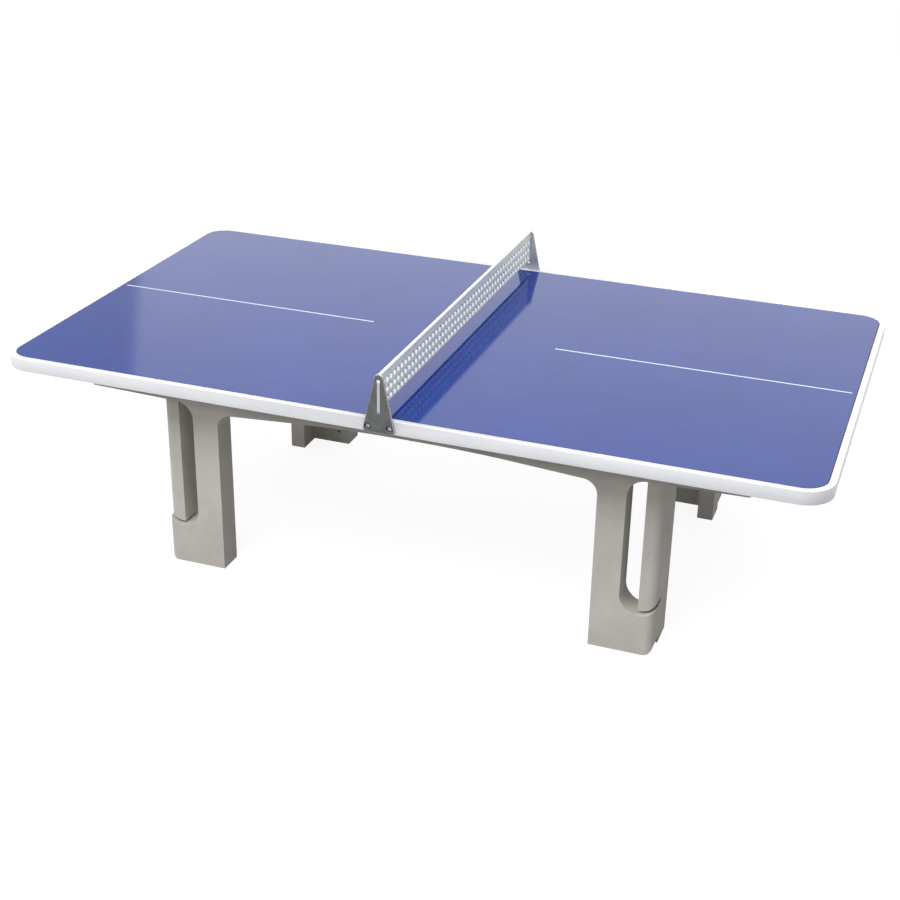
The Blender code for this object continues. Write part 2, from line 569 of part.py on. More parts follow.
for end_name, end in ENDS:
    cross = prism("cross_frame_" + end_name, cross_outline, CROSS_THICKNESS, chamfer=FRAME_CHAMFER)
    cross.rotation_euler = (math.pi / 2, 0, math.pi / 2)
    cross.location.x = end * (FOOT_END + CROSS_INNER) / 2
    for side_name, side in SIDES:
        tool = prism("tab_bottom_" + side_name + "_" + end_name, [(end * x, z) for x, z in below_tab],
                     2 * FRAME_THICKNESS, is_cutter=True)
        upright(tool, side * (leg_outer + FRAME_THICKNESS))
        boolean(cross, tool)
        round_foot(cross, "tab_rounding_" + side_name + "_" + end_name, end, side, tab_outer, TOP_HEIGHT)
    paint(cross, (0.48, 0.48, 0.46), 0.85, 0)

# Rubber strips along the tops of the long frames
for side_name, side in SIDES:
    strip = block("bearing_strip_" + side_name,
                  (STRIP_SETBACK - beam_end, side * long_middle - STRIP_WIDTH / 2, FRAME_TOP + CLEARANCE),
                  (beam_end - STRIP_SETBACK, side * long_middle + STRIP_WIDTH / 2, EDGE_BOTTOM - CLEARANCE))
    paint(strip, (0.03, 0.03, 0.03), 0.8, 0)

# Angles that hold the slab to the long frames, and the cross frames to the long frames
angle_section = [(0, 0), (0, -ANGLE_LEG), (-ANGLE_THICKNESS, -ANGLE_LEG),
                 (-ANGLE_THICKNESS, -ANGLE_THICKNESS), (-ANGLE_LEG, -ANGLE_THICKNESS), (-ANGLE_LEG, 0)]
angle_top = EDGE_BOTTOM - CLEARANCE
corner_end = CROSS_INNER - CLEARANCE
corner_middle = FRAME_TOP - CORNER_ANGLE_DROP - CORNER_ANGLE_LENGTH / 2
for side_name, side in SIDES:
    for end_name, end in ENDS:
        label = side_name + "_" + end_name
        top_angle = prism("top_angle_" + label, angle_section, TOP_ANGLE_LENGTH)
        top_angle.rotation_euler = (math.pi / 2, 0, side * math.pi / 2)
        top_angle.location = (end * TOP_ANGLE_POSITION, side * angle_outer, angle_top)
        corner_angle = prism("corner_angle_" + label, [(end * u, side * v) for u, v in angle_section],
                             CORNER_ANGLE_LENGTH)
        corner_angle.location = (end * corner_end, side * angle_outer, corner_middle)
        screws = (
            ("slab_screw_", top_angle, slab, (0, 0, 1),
             (end * TOP_ANGLE_POSITION, side * (angle_outer - ANGLE_HOLE_POSITION),
              angle_top - ANGLE_THICKNESS)),
            ("beam_screw_", top_angle, bpy.data.objects["long_frame_" + side_name], (0, side, 0),
             (end * TOP_ANGLE_POSITION, side * (angle_outer - ANGLE_THICKNESS),
              angle_top - ANGLE_HOLE_POSITION)),
            ("corner_screw_", corner_angle, bpy.data.objects["long_frame_" + side_name], (0, side, 0),
             (end * (corner_end - ANGLE_HOLE_POSITION), side * (angle_outer - ANGLE_THICKNESS),
              corner_middle)),
            ("cross_screw_", corner_angle, bpy.data.objects["cross_frame_" + end_name], (end, 0, 0),
             (end * (corner_end - ANGLE_THICKNESS), side * (angle_outer - ANGLE_HOLE_POSITION),
              corner_middle)),
        )
        for kind, angle, host, direction, face in screws:
            seat = Vector(face) - Vector(direction) * CLEARANCE
            screw = rods(kind + label, [(seat - Vector(direction) * BOLT_HEAD_HEIGHT / 2, direction)],
                         BOLT_RADIUS, BOLT_HEAD_HEIGHT / 2 + SCREW_REACH)
            boolean(screw, rods(kind + label + "_head", [(seat, -Vector(direction))], BOLT_HEAD / 2,
                                BOLT_HEAD_HEIGHT, sides=6, is_cutter=True), 'UNION')
            paint(screw, (0.60, 0.61, 0.62), 0.35, 1)
            drill(angle, kind + label + "_clearance_hole", [(face, direction)], BOLT_RADIUS + BOLT_ROOM,
                  OVERRUN)
            drill(host, kind + label + "_hole", [(face, direction)], BOLT_RADIUS + CLEARANCE,
                  SCREW_REACH + CLEARANCE)
        for angle in (top_angle, corner_angle):
            paint(angle, (0.55, 0.56, 0.57), 0.4, 1)

# Threaded ground anchor sockets in the inner faces of the columns, each closed by a plastic plug
outer = GROUND_SOCKET / 2
bore = GROUND_SOCKET_BORE / 2
bore_end = GROUND_SOCKET_LENGTH - (outer - bore)
section = [(0, GROUND_SOCKET_LENGTH), (outer, GROUND_SOCKET_LENGTH), (outer, 0), (bore, 0),
           (bore, bore_end), (0, bore_end)]
column_middle = (COLUMN_INNER + COLUMN_OUTER) / 2
for side_name, side in SIDES:
    for end_name, end in ENDS:
        label = side_name + "_" + end_name
        place = (end * column_middle, side * (LONG_INNER + CLEARANCE), GROUND_SOCKET_HEIGHT)
        socket = turned("ground_socket_" + label, section, place, (0, side, 0))
        paint(socket, (0.35, 0.35, 0.36), 0.5, 1)
        plug_place = Vector(place) + Vector((0, side * GROUND_PLUG_RECESS, 0))
        plug = rods("ground_plug_" + label, [(plug_place, (0, side, 0))], bore - CLEARANCE,
                    GROUND_PLUG_LENGTH, TURNED_STEPS)
        paint(plug, (0.02, 0.02, 0.02), 0.6, 0)
        drill(bpy.data.objects["long_frame_" + side_name], "ground_socket_hole_" + label,
              [(place, (0, side, 0))], outer + CLEARANCE, GROUND_SOCKET_LENGTH + CLEARANCE, TURNED_STEPS)
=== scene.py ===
import math

import bmesh
import bpy
from mathutils import Matrix, Vector


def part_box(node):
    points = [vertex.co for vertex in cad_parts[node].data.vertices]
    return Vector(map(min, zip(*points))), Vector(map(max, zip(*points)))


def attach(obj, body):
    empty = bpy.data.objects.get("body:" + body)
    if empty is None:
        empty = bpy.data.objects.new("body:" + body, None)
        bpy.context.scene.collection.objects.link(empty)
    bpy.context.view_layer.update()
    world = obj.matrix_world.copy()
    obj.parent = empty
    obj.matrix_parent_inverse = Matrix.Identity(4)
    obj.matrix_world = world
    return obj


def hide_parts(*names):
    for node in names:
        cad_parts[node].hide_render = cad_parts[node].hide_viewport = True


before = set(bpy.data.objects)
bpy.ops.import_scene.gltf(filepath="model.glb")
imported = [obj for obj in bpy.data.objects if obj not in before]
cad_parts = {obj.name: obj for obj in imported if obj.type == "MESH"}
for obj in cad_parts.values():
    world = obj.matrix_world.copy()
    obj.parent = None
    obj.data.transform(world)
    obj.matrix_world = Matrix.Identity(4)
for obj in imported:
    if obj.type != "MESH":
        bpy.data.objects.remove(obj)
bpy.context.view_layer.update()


# Long frames
# Each is one concrete casting of a beam, two square columns and two feet, poured flat in a steel mould.
# The mould's rounded corners give the soft arrises, and a U-shaped notch over each foot takes a cross frame.
sides = (("near", -1), ("far", 1))
ends = (("left", -1), ("right", 1))
long_outer, long_inner, frame_top = 0.592, 0.500, 0.710
foot_end, foot_corner, foot_plan_radius = 0.866, 0.030, 0.027
column_inner, column_outer = 0.656, 0.748
notch_mouth, notch_floor, notch_radius, notch_lip = 0.8458, 0.142, 0.069, 0.0204
clear_of_notch = 0.300
arch_top, arch_radius = 0.5897, 0.050
beam_middle_low, beam_middle_radius = 0.633, 5.5
arm_low, arm_radius = 0.616, 0.060
arm_end, arm_end_low, arm_cut, arm_cut_low = 1.150, 0.645, 1.120, 0.6245
casting_arris = 0.0036
socket_radius, socket_depth = 0.010, 0.040
overshoot, hairline = 0.010, 0.0001


def drawn(corners, segments=14):
    """A flat face in the x-z plane, each corner given as x, z and the radius that rounds it."""
    bm = bmesh.new()
    verts = [bm.verts.new((x, 0, z)) for x, z, _ in corners]
    bm.faces.new(verts)
    for index, (vert, (x, z, radius)) in enumerate(zip(verts, corners)):
        if radius:
            here = Vector((x, z))
            back = Vector(corners[index - 1][:2]) - here
            ahead = Vector(corners[(index + 1) % len(corners)][:2]) - here
            turn = math.pi - back.angle(ahead)
            bmesh.ops.bevel(bm, geom=[vert], offset=radius * math.tan(turn / 2), offset_type='OFFSET',
                            affect='VERTICES', segments=max(8, round(turn / (math.pi / 2) * segments)),
                            profile=0.5, material=-1)
    bmesh.ops.remove_doubles(bm, verts=bm.verts[:], dist=0.0001)
    return bm


def pulled(bm, way):
    """Pull a flat face into a solid along a vector."""
    grown = bmesh.ops.extrude_face_region(bm, geom=bm.faces[:])["geom"]
    bmesh.ops.translate(bm, vec=way, verts=[item for item in grown if isinstance(item, bmesh.types.BMVert)])
    bmesh.ops.recalc_face_normals(bm, faces=bm.faces[:])
    return bm


def thickened(bm, low, high):
    """Pull a flat face into a solid that reaches from low to high along y."""
    bmesh.ops.translate(bm, vec=(0, low, 0), verts=bm.verts[:])
    return pulled(bm, (0, high - low, 0))


def block(low, high):
    """A box between two opposite corners."""
    bm = bmesh.new()
    bmesh.ops.create_cube(bm, size=1)
    bmesh.ops.scale(bm, vec=Vector(high) - Vector(low), verts=bm.verts[:])
    bmesh.ops.translate(bm, vec=(Vector(high) + Vector(low)) / 2, verts=bm.verts[:])
    return bm


def machined(bm, tool, operation='DIFFERENCE'):
    """Cut a mesh with a tool, or join the tool to it, and give back the result."""
    blanks = []
    for source in (bm, tool):
        mesh = bpy.data.meshes.new("blank")
        source.to_mesh(mesh)
        source.free()
        blanks.append(bpy.data.objects.new("blank", mesh))
        bpy.context.scene.collection.objects.link(blanks[-1])
    step = blanks[0].modifiers.new("step", 'BOOLEAN')
    step.operation = operation
    step.solver = 'EXACT'
    step.object = blanks[1]
    result = bmesh.new()
    result.from_object(blanks[0], bpy.context.evaluated_depsgraph_get())
    for blank in blanks:
        mesh = blank.data
        bpy.data.objects.remove(blank)
        bpy.data.meshes.remove(mesh)
    bmesh.ops.remove_doubles(result, verts=result.verts[:], dist=0.00002)
    return result


def rod(place, direction, radius, length, segments=32):
    """A round bar from a place along a direction."""
    bm = bmesh.new()
    stand = Vector((0, 0, 1)).rotation_difference(Vector(direction)).to_matrix().to_4x4()
    middle = Vector(place) + Vector(direction) * length / 2
    bmesh.ops.create_cone(bm, cap_ends=True, segments=segments, radius1=radius, radius2=radius, depth=length,
                          matrix=Matrix.Translation(middle) @ stand)
    return bm


def flipped(bm, x, y):
    """Mirror a mesh made for the far right corner over to the corner whose x and y are 1 or -1."""
    bmesh.ops.scale(bm, vec=(x, y, 1), verts=bm.verts[:])
    bmesh.ops.recalc_face_normals(bm, faces=bm.faces[:])
    return bm


def corner_waste(face, low, high):
    """What rounds the plan corner of a foot or a tab, at its outer face and between two heights."""
    x, y = foot_end - foot_plan_radius, face - foot_plan_radius
    return machined(block((x, y, low), (foot_end + overshoot, face + overshoot, high)),
                    rod((x, y, low - overshoot), (0, 0, 1), foot_plan_radius, high - low + 2 * overshoot, 72))


def marked(face, layer, value):
    """Give the corners of a face a value, which its material reads."""
    for corner in face.loops:
        corner[layer] = value


def arrises_rounded(bm, width, segments=3):
    """Round the convex edges of a piece and mark the new faces as its arris, the upward ones higher for wear
    and painted highlight.
    """
    edges = [edge for edge in bm.edges
             if len(edge.link_faces) == 2 and edge.is_convex and edge.calc_face_angle() > math.radians(40)]
    rounded = bmesh.ops.bevel(bm, geom=edges, offset=width, offset_type='OFFSET', affect='EDGES',
                              segments=segments, profile=0.5, material=-1, clamp_overlap=True)
    arris = bm.loops.layers.float.new("arris")
    bm.normal_update()
    for face in rounded["faces"]:
        marked(face, arris, 1 if face.normal.z > 0.2 else 0.4)
    return bm


def finished(bm, name, material, sharper=35, evened=True):
    """Link a mesh as a piece of the table, smooth between its sharp edges and with its flats evened."""
    mesh = bpy.data.meshes.new(name)
    bm.to_mesh(mesh)
    bm.free()
    mesh.shade_smooth()
    mesh.set_sharp_from_angle(angle=math.radians(sharper))
    mesh.materials.append(material)
    piece = bpy.data.objects.new(name, mesh)
    bpy.context.scene.collection.objects.link(piece)
    if evened:
        evening = piece.modifiers.new("even flats", 'WEIGHTED_NORMAL')
        evening.keep_sharp = True
        evening.weight = 90
    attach(piece, "root")
    return piece


def started(name):
    """A new material, its shader, and where its patterns are placed on the piece."""
    material = bpy.data.materials.new(name)
    material.use_nodes = True
    tree = material.node_tree
    place = tree.nodes.new('ShaderNodeTexCoord').outputs["Object"]
    return material, tree, tree.nodes["Principled BSDF"], place


def joined(tree, kind, inputs, **settings):
    """A node with its settings made and its inputs set or linked."""
    node = tree.nodes.new(kind)
    for key, value in settings.items():
        setattr(node, key, value)
    for key, value in inputs.items():
        if isinstance(value, bpy.types.NodeSocket):
            tree.links.new(value, node.inputs[key])
        else:
            node.inputs[key].default_value = value
    return node


def noise(tree, place, scale, detail=4, roughness=0.55):
    """Even cloudy noise between 0 and 1."""
    return joined(tree, 'ShaderNodeTexNoise', {"Vector": place, "Scale": scale, "Detail": detail,
                                              "Roughness": roughness}).outputs["Fac"]


def spread(tree, value, low, high, start=0.0, end=1.0):
    """Stretch the part of a value between low and high over start to end."""
    return joined(tree, 'ShaderNodeMapRange', {"Value": value, "From Min": low, "From Max": high,
                                              "To Min": start, "To Max": end}).outputs["Result"]


def times(tree, first, second, operation='MULTIPLY'):
    """Two values multiplied, or put together by another operation."""
    return joined(tree, 'ShaderNodeMath', {0: first, 1: second}, operation=operation).outputs[0]


def blended(tree, share, first, second, blend='MIX'):
    """One colour laid over another by a share."""
    node = joined(tree, 'ShaderNodeMix', {0: share, 6: first, 7: second}, data_type='RGBA', blend_type=blend)
    return node.outputs[2]


def raised(tree, height, distance, strength=1.0, over=None):
    """A bump of that height in metres, over another bump if one is given."""
    inputs = {"Height": height, "Distance": distance, "Strength": strength}
    if over:
        inputs["Normal"] = over
    return joined(tree, 'ShaderNodeBump', inputs).outputs["Normal"]


def concrete(name, pale, dark, rust=0.0):
    """Smooth cast concrete: clouds, sand, air holes, worn arrises lightened further as painted highlight, a
    soiled foot, painted shade under the top.
    """
    material, tree, shader, place = started(name)
    clouds = spread(tree, noise(tree, place, 2.3, 6, 0.6), 0.36, 0.64)
    patches = spread(tree, noise(tree, place, 11.0, 5, 0.62), 0.38, 0.66)
    colour = blended(tree, clouds, (*dark, 1), (*pale, 1))
    colour = blended(tree, times(tree, patches, 0.30), colour,
                     (pale[0] * 1.14, pale[1] * 1.12, pale[2] * 1.08, 1))
    sand = noise(tree, place, 420.0, 3, 0.7)
    colour = blended(tree, 0.16, colour, joined(tree, 'ShaderNodeCombineColor', {
        "Red": sand, "Green": sand, "Blue": sand}).outputs["Color"], 'OVERLAY')
    bloom = spread(tree, noise(tree, place, 6.5, 3, 0.5), 0.63, 0.74)
    colour = blended(tree, times(tree, bloom, 0.38), colour, (0.72, 0.70, 0.66, 1))

    cells = joined(tree, 'ShaderNodeTexVoronoi', {"Vector": place, "Scale": 95.0, "Randomness": 1.0})
    chosen = joined(tree, 'ShaderNodeSeparateColor', {"Color": cells.outputs["Color"]}).outputs["Red"]
    size = spread(tree, chosen, 0.88, 1.0, 0.0, 0.22)
    hole = spread(tree, times(tree, size, cells.outputs["Distance"], 'SUBTRACT'), 0.0, 0.06)
    colour = blended(tree, times(tree, hole, 0.40), colour,
                     (dark[0] * 0.45, dark[1] * 0.44, dark[2] * 0.42, 1))

    height = joined(tree, 'ShaderNodeSeparateXYZ', {"Vector": place}).outputs["Z"]
    soiled = times(tree, spread(tree, height, 0.11, 0.0),
                   spread(tree, noise(tree, place, 24.0, 5, 0.65), 0.32, 0.68))
    colour = blended(tree, times(tree, soiled, 0.14), colour, (0.23, 0.20, 0.16, 1))
    # Painted shade: the faces just under the tabletop are darkened, standing in for the shade the top casts.
    painted_shade_under_top = times(tree, spread(tree, height, 0.595, 0.655),
                      spread(tree, noise(tree, place, 17.0, 5, 0.65), 0.30, 0.60, 0.55, 1.0))
    colour = blended(tree, times(tree, painted_shade_under_top, 0.72), colour, (0.19, 0.185, 0.165, 1))
    if rust:
        stain = spread(tree, noise(tree, place, 4.0, 6, 0.7), 0.62, 0.72)
        colour = blended(tree, times(tree, stain, rust), colour, (0.30, 0.17, 0.08, 1))
    # The arrises are paled as wear, and the upward ones further as a painted highlight.
    wear_and_painted_highlight = joined(tree, 'ShaderNodeAttribute', {}, attribute_name="arris").outputs["Fac"]
    wear_and_painted_highlight = times(tree, wear_and_painted_highlight, spread(tree, noise(tree, place, 60.0, 4, 0.7), 0.36, 0.62, 0.25, 0.75))
    colour = blended(tree, times(tree, wear_and_painted_highlight, 0.80), colour, (0.80, 0.78, 0.75, 1))
    tree.links.new(colour, shader.inputs["Base Color"])
    tree.links.new(spread(tree, patches, 0.0, 1.0, 0.86, 0.74), shader.inputs["Roughness"])

    swell = raised(tree, noise(tree, place, 9.0, 3, 0.5), 0.0016, 0.35)
    grain = raised(tree, sand, 0.00045, 0.5, swell)
    pits = raised(tree, times(tree, 1.0, hole, 'SUBTRACT'), 0.0012, 0.8, grain)
    tree.links.new(pits, shader.inputs["Normal"])
    shader.inputs["Specular IOR Level"].default_value = 0.3
    return material


cast_concrete = concrete("cast_concrete", (0.590, 0.562, 0.525), (0.500, 0.478, 0.446))
foot_shape = [
    (column_inner, arch_top, arch_radius), (column_inner, 0, 0), (foot_end, 0, foot_corner),
    (foot_end, notch_floor + notch_lip, 0), (notch_mouth, notch_floor, notch_radius),
    (column_outer, notch_floor, notch_radius), (column_outer, arm_low, arm_radius),
    (arm_cut, arm_cut_low, 0), (arm_end, arm_end_low, 0), (arm_end, frame_top, 0)]
long_outline = [(0, beam_middle_low, beam_middle_radius), *foot_shape,
                *[(-x, z, radius) for x, z, radius in reversed(foot_shape)]]
for side_name, side in sides:
    casting = thickened(drawn(long_outline), *sorted((side * long_inner, side * long_outer)))
    for end_name, end in ends:
        waste = corner_waste(long_outer, -overshoot, clear_of_notch)
        casting = machined(casting, flipped(waste, end, side))
    arrises_rounded(casting, casting_arris)
    for end_name, end in ends:
        low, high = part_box("ground_socket_" + side_name + "_" + end_name)
        middle = (low + high) / 2
        casting = machined(casting, rod((middle.x, side * (long_inner - overshoot), middle.z), (0, side, 0),
                                        socket_radius + hairline, overshoot + socket_depth + hairline, 64))
    piece = finished(casting, "concrete_frame_" + side_name, cast_concrete)
    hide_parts("long_frame_" + side_name)


# Cross frames
# Each is a cast slab with two legs, set between the long frames near the ends of the table.
# A tab outside each leg drops into the notch of a long frame, and follows its round bottom with a small gap.
cross_inner, tab_gap = 0.8085, 0.011
leg_inner, leg_outer, tab_outer = 0.3997, 0.4997, 0.577
portal_top, portal_corner, tab_top = 0.590, 0.060, 0.6166
leg_shape = [(leg_inner, portal_top, portal_corner), (leg_inner, 0, 0), (leg_outer, 0, 0),
             (leg_outer, notch_floor, 0), (tab_outer, notch_floor, 0), (tab_outer, tab_top, 0),
             (leg_outer, tab_top, 0), (leg_outer, frame_top, 0)]
cross_outline = [*leg_shape, *[(-y, z, radius) for y, z, radius in reversed(leg_shape)]]
notch_x, notch_z = column_outer + notch_radius, notch_floor + notch_radius
bowl_reach = notch_radius + overshoot
for end_name, end in ends:
    casting = thickened(drawn(cross_outline), -foot_end, -cross_inner)
    bmesh.ops.rotate(casting, verts=casting.verts[:], matrix=Matrix.Rotation(math.pi / 2, 3, 'Z'))
    for side_name, side in sides:
        bowl = block((notch_x - bowl_reach, leg_outer, notch_z - bowl_reach),
                     (notch_x + bowl_reach, tab_outer + overshoot, notch_z))
        core = rod((notch_x, leg_inner, notch_z), (0, 1, 0), notch_radius - tab_gap, tab_outer, 96)
        bowl = machined(bowl, core)
        casting = machined(casting, flipped(bowl, 1, side))
        waste = corner_waste(tab_outer, overshoot, tab_top + overshoot)
        casting = machined(casting, flipped(waste, 1, side))
    flipped(casting, end, 1)
    arrises_rounded(casting, casting_arris)
    piece = finished(casting, "concrete_cross_" + end_name, cast_concrete)
    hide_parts("cross_frame_" + end_name)


# Ground sockets and plugs
# A threaded steel socket is cast into the inner face of each column near the ground, to bolt the table down.
# A black plastic plug keeps dirt out of it while it isn't used.
socket_bore, socket_floor = 0.006, 0.004
lead_in, fine_edge, end_chamfer = 0.0008, 0.0004, 0.001
plug_radius, plug_length, plug_recess, plug_edge = 0.0057, 0.012, 0.002, 0.0006
dimple_floor, dimple_rim = 0.0016, 0.0019


def turned(section, place, direction, steps=40, ring=False):
    """A solid of revolution from its half section of radius and height points, stood on a place."""
    bm = bmesh.new()
    verts = [bm.verts.new((radius, 0, height)) for radius, height in section]
    for first, second in zip(verts, verts[1:] + verts[:1] if ring else verts[1:]):
        bm.edges.new((first, second))
    bmesh.ops.spin(bm, geom=bm.verts[:] + bm.edges[:], cent=(0, 0, 0), axis=(0, 0, 1), angle=2 * math.pi,
                   steps=steps, use_merge=True)
    bmesh.ops.remove_doubles(bm, verts=bm.verts[:], dist=0.00001)
    bmesh.ops.recalc_face_normals(bm, faces=bm.faces[:])
    stand = Vector((0, 0, 1)).rotation_difference(Vector(direction)).to_matrix().to_4x4()
    bmesh.ops.transform(bm, matrix=Matrix.Translation(place) @ stand, verts=bm.verts[:])
    return bm


def steel(name, colour, roughness, dull=0.0, rust=0.0):
    """Bare or galvanised steel: uneven polish, fine scratches and, where it is old, rust."""
    material, tree, shader, place = started(name)
    shader.inputs["Metallic"].default_value = 1.0
    clouds = noise(tree, place, 35.0, 5, 0.6)
    tone = blended(tree, spread(tree, clouds, 0.35, 0.68),
                   (*[part * 0.78 for part in colour], 1), (*colour, 1))
    scratches = noise(tree, place, 900.0, 2, 0.8)
    uneven = spread(tree, scratches, 0.3, 0.7, roughness - 0.08, roughness + 0.12)
    if rust:
        eaten = spread(tree, noise(tree, place, 90.0, 6, 0.7), 0.66 - rust * 0.35, 0.74 - rust * 0.30)
        tone = blended(tree, eaten, tone, (0.20, 0.095, 0.045, 1))
        uneven = blended(tree, eaten, uneven, (0.85, 0.85, 0.85, 1))
        tree.links.new(spread(tree, eaten, 0.0, 1.0, 1.0, 0.15), shader.inputs["Metallic"])
    tree.links.new(tone, shader.inputs["Base Color"])
    tree.links.new(uneven, shader.inputs["Roughness"])
    tree.links.new(raised(tree, scratches, 0.00008, 0.35 + dull), shader.inputs["Normal"])
    return material


cast_in_steel = steel("cast_in_steel", (0.33, 0.32, 0.31), 0.5, rust=0.55)
plug_plastic, tree, shader, place = started("plug_plastic")
tree.links.new(blended(tree, noise(tree, place, 300.0), (0.012, 0.012, 0.013, 1), (0.030, 0.030, 0.031, 1)),
               shader.inputs["Base Color"])
tree.links.new(spread(tree, noise(tree, place, 160.0), 0.3, 0.7, 0.42, 0.62), shader.inputs["Roughness"])
tree.links.new(raised(tree, noise(tree, place, 1400.0), 0.00006, 0.5), shader.inputs["Normal"])
socket_section = [
    (0, socket_depth), (socket_radius - end_chamfer, socket_depth),
    (socket_radius, socket_depth - end_chamfer), (socket_radius, fine_edge),
    (socket_radius - fine_edge, 0), (socket_bore + lead_in, 0), (socket_bore, lead_in),
    (socket_bore, socket_depth - socket_floor), (0, socket_depth - socket_floor)]
plug_section = [
    (0, plug_edge), (dimple_floor, plug_edge), (dimple_rim, 0), (plug_radius - plug_edge, 0),
    (plug_radius, plug_edge), (plug_radius, plug_length - end_chamfer),
    (plug_radius - end_chamfer, plug_length), (0, plug_length)]
for side_name, side in sides:
    for end_name, end in ends:
        label = side_name + "_" + end_name
        low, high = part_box("ground_socket_" + label)
        middle = (low + high) / 2
        mouth = side * min(abs(low.y), abs(high.y))
        outward = (0, side, 0)
        socket = finished(turned(socket_section, (middle.x, mouth, middle.z), outward),
                          "cast_socket_" + label, cast_in_steel)
        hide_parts("ground_socket_" + label)
        plug = finished(turned(plug_section, (middle.x, mouth + side * plug_recess, middle.z), outward),
                        "socket_plug_" + label, plug_plastic)
        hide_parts("ground_plug_" + label)


# Corner angles
# Galvanised steel angles stand in the inner corners, where the cross frames meet the long frames.
# Each is held by one hexagon screw into either casting.
angle_leg, angle_thickness, angle_root, angle_toe = 0.050, 0.005, 0.005, 0.003
screw_radius, screw_room, screw_head, screw_head_height = 0.004, 0.0048, 0.00725, 0.0053
angle_arris, head_arris = 0.0007, 0.0005
galvanised = steel("galvanised_steel", (0.62, 0.63, 0.64), 0.38, dull=0.3, rust=0.10)
screw_steel = steel("screw_steel", (0.66, 0.66, 0.67), 0.30)


def angle(node, along, corner, holes):
    """A rolled angle in a node's box, its section turned to lie across an axis and its corner as given."""
    low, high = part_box(node)
    length = high[along] - low[along]
    section = [(0, 0, 0), (0, -angle_leg, 0), (-angle_thickness, -angle_leg, angle_toe),
               (-angle_thickness, -angle_thickness, angle_root), (-angle_leg, -angle_thickness, angle_toe),
               (-angle_leg, 0, 0)]
    bm = thickened(drawn(section, 6), -length / 2, length / 2)
    arrises_rounded(bm, angle_arris, 2)
    middle = (low + high) / 2
    first, second = [axis for axis in (0, 1, 2) if axis != along]
    turn = Matrix.Diagonal((0, 0, 0, 1))
    turn[first][0] = corner[0]
    turn[second][2] = corner[1]
    turn[along][1] = 1
    spot = [0, 0, 0]
    spot[first] = high[first] if corner[0] > 0 else low[first]
    spot[second] = high[second] if corner[1] > 0 else low[second]
    spot[along] = middle[along]
    bmesh.ops.transform(bm, matrix=Matrix.Translation(spot) @ turn, verts=bm.verts[:])
    bmesh.ops.recalc_face_normals(bm, faces=bm.faces[:])
    for hole, direction in holes:
        low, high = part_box(hole)
        start = (low + high) / 2 - Vector(direction) * angle_leg
        bm = machined(bm, rod(start, direction, screw_room, 2 * angle_leg))
    piece = finished(bm, node + "_bracket", galvanised)
    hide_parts(node)


def hexagon_screw(node, direction):
    """A screw with a bevelled hexagon head, whose shank runs along a direction in a node's box."""
    low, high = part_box(node)
    middle = (low + high) / 2
    reach = abs((high - low).dot(Vector(direction)))
    start = middle - Vector(direction) * reach / 2
    head = rod(start, direction, screw_head, screw_head_height, 6)
    arrises_rounded(head, head_arris, 2)
    shank = rod(start + Vector(direction) * screw_head_height / 2, direction, screw_radius,
                reach - screw_head_height / 2, 24)
    piece = finished(machined(head, shank, 'UNION'), node + "_hexagon", screw_steel)
    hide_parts(node)


for side_name, side in sides:
    for end_name, end in ends:
        label = side_name + "_" + end_name
        angle("corner_angle_" + label, 2, (end, side),
              [("corner_screw_" + label, (0, side, 0)), ("cross_screw_" + label, (end, 0, 0))])
        hexagon_screw("corner_screw_" + label, (0, side, 0))
        hexagon_screw("cross_screw_" + label, (end, 0, 0))


# Bearing strips
# A black rubber strip lies along the top of each long frame, cut from flat sheet.
# It evens out what the two rough castings leave between them, so that the slab bears on its full length.
rubber, tree, shader, place = started("bearing_rubber")
tree.links.new(blended(tree, noise(tree, place, 45.0, 5), (0.016, 0.016, 0.016, 1), (0.050, 0.049, 0.047, 1)),
               shader.inputs["Base Color"])
tree.links.new(spread(tree, noise(tree, place, 140.0), 0.3, 0.7, 0.70, 0.92), shader.inputs["Roughness"])
tree.links.new(raised(tree, noise(tree, place, 700.0), 0.0002, 0.6), shader.inputs["Normal"])


def dressed(node, material):
    """Give a plain node its own finish."""
    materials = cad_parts[node].data.materials
    materials.clear()
    materials.append(material)


for side_name, side in sides:
    dressed("bearing_strip_" + side_name, rubber)


# Slab
# The top is a concrete slab cast on a welded mat of steel bars, inside the edge profile that shapes its rim.
# Its underside is the rough open side of the pour, and two steel anchors in its long edges hold the net.
slab_concrete = concrete("slab_concrete", (0.46, 0.44, 0.41), (0.38, 0.365, 0.34), rust=0.20)
bar_steel = steel("bar_steel", (0.28, 0.22, 0.18), 0.6, rust=1.0)
for node, material in (("top_core_slab", slab_concrete), ("reinforcing_mat", bar_steel),
                       ("net_anchor_near", cast_in_steel), ("net_anchor_far", cast_in_steel)):
    dressed(node, material)


# Top angles
# Four more galvanised angles, cut from the same bar, hold the slab down on the long frames.
# Each has one screw up into the slab and another into the inner face of the beam.
for side_name, side in sides:
    for end_name, end in ends:
        label = side_name + "_" + end_name
        angle("top_angle_" + label, 0, (side, 1),
              [("slab_screw_" + label, (0, 0, 1)), ("beam_screw_" + label, (0, side, 0))])
        hexagon_screw("slab_screw_" + label, (0, 0, 1))
        hexagon_screw("beam_screw_" + label, (0, side, 0))


# Edge profile
# White coated aluminium of C-shaped section is bent round the slab in two lengths.
# It clasps the slab above and below, and its lengths meet behind the net's end plates.
top_length, top_width, top_height, corner_radius = 2.740, 1.525, 0.760, 0.095
profile_height, profile_wall, flange, lip = 0.045, 0.0025, 0.020, 0.012
profile_crown, profile_base, profile_joint = 0.002, 0.001, 0.0003
margin = 0.001


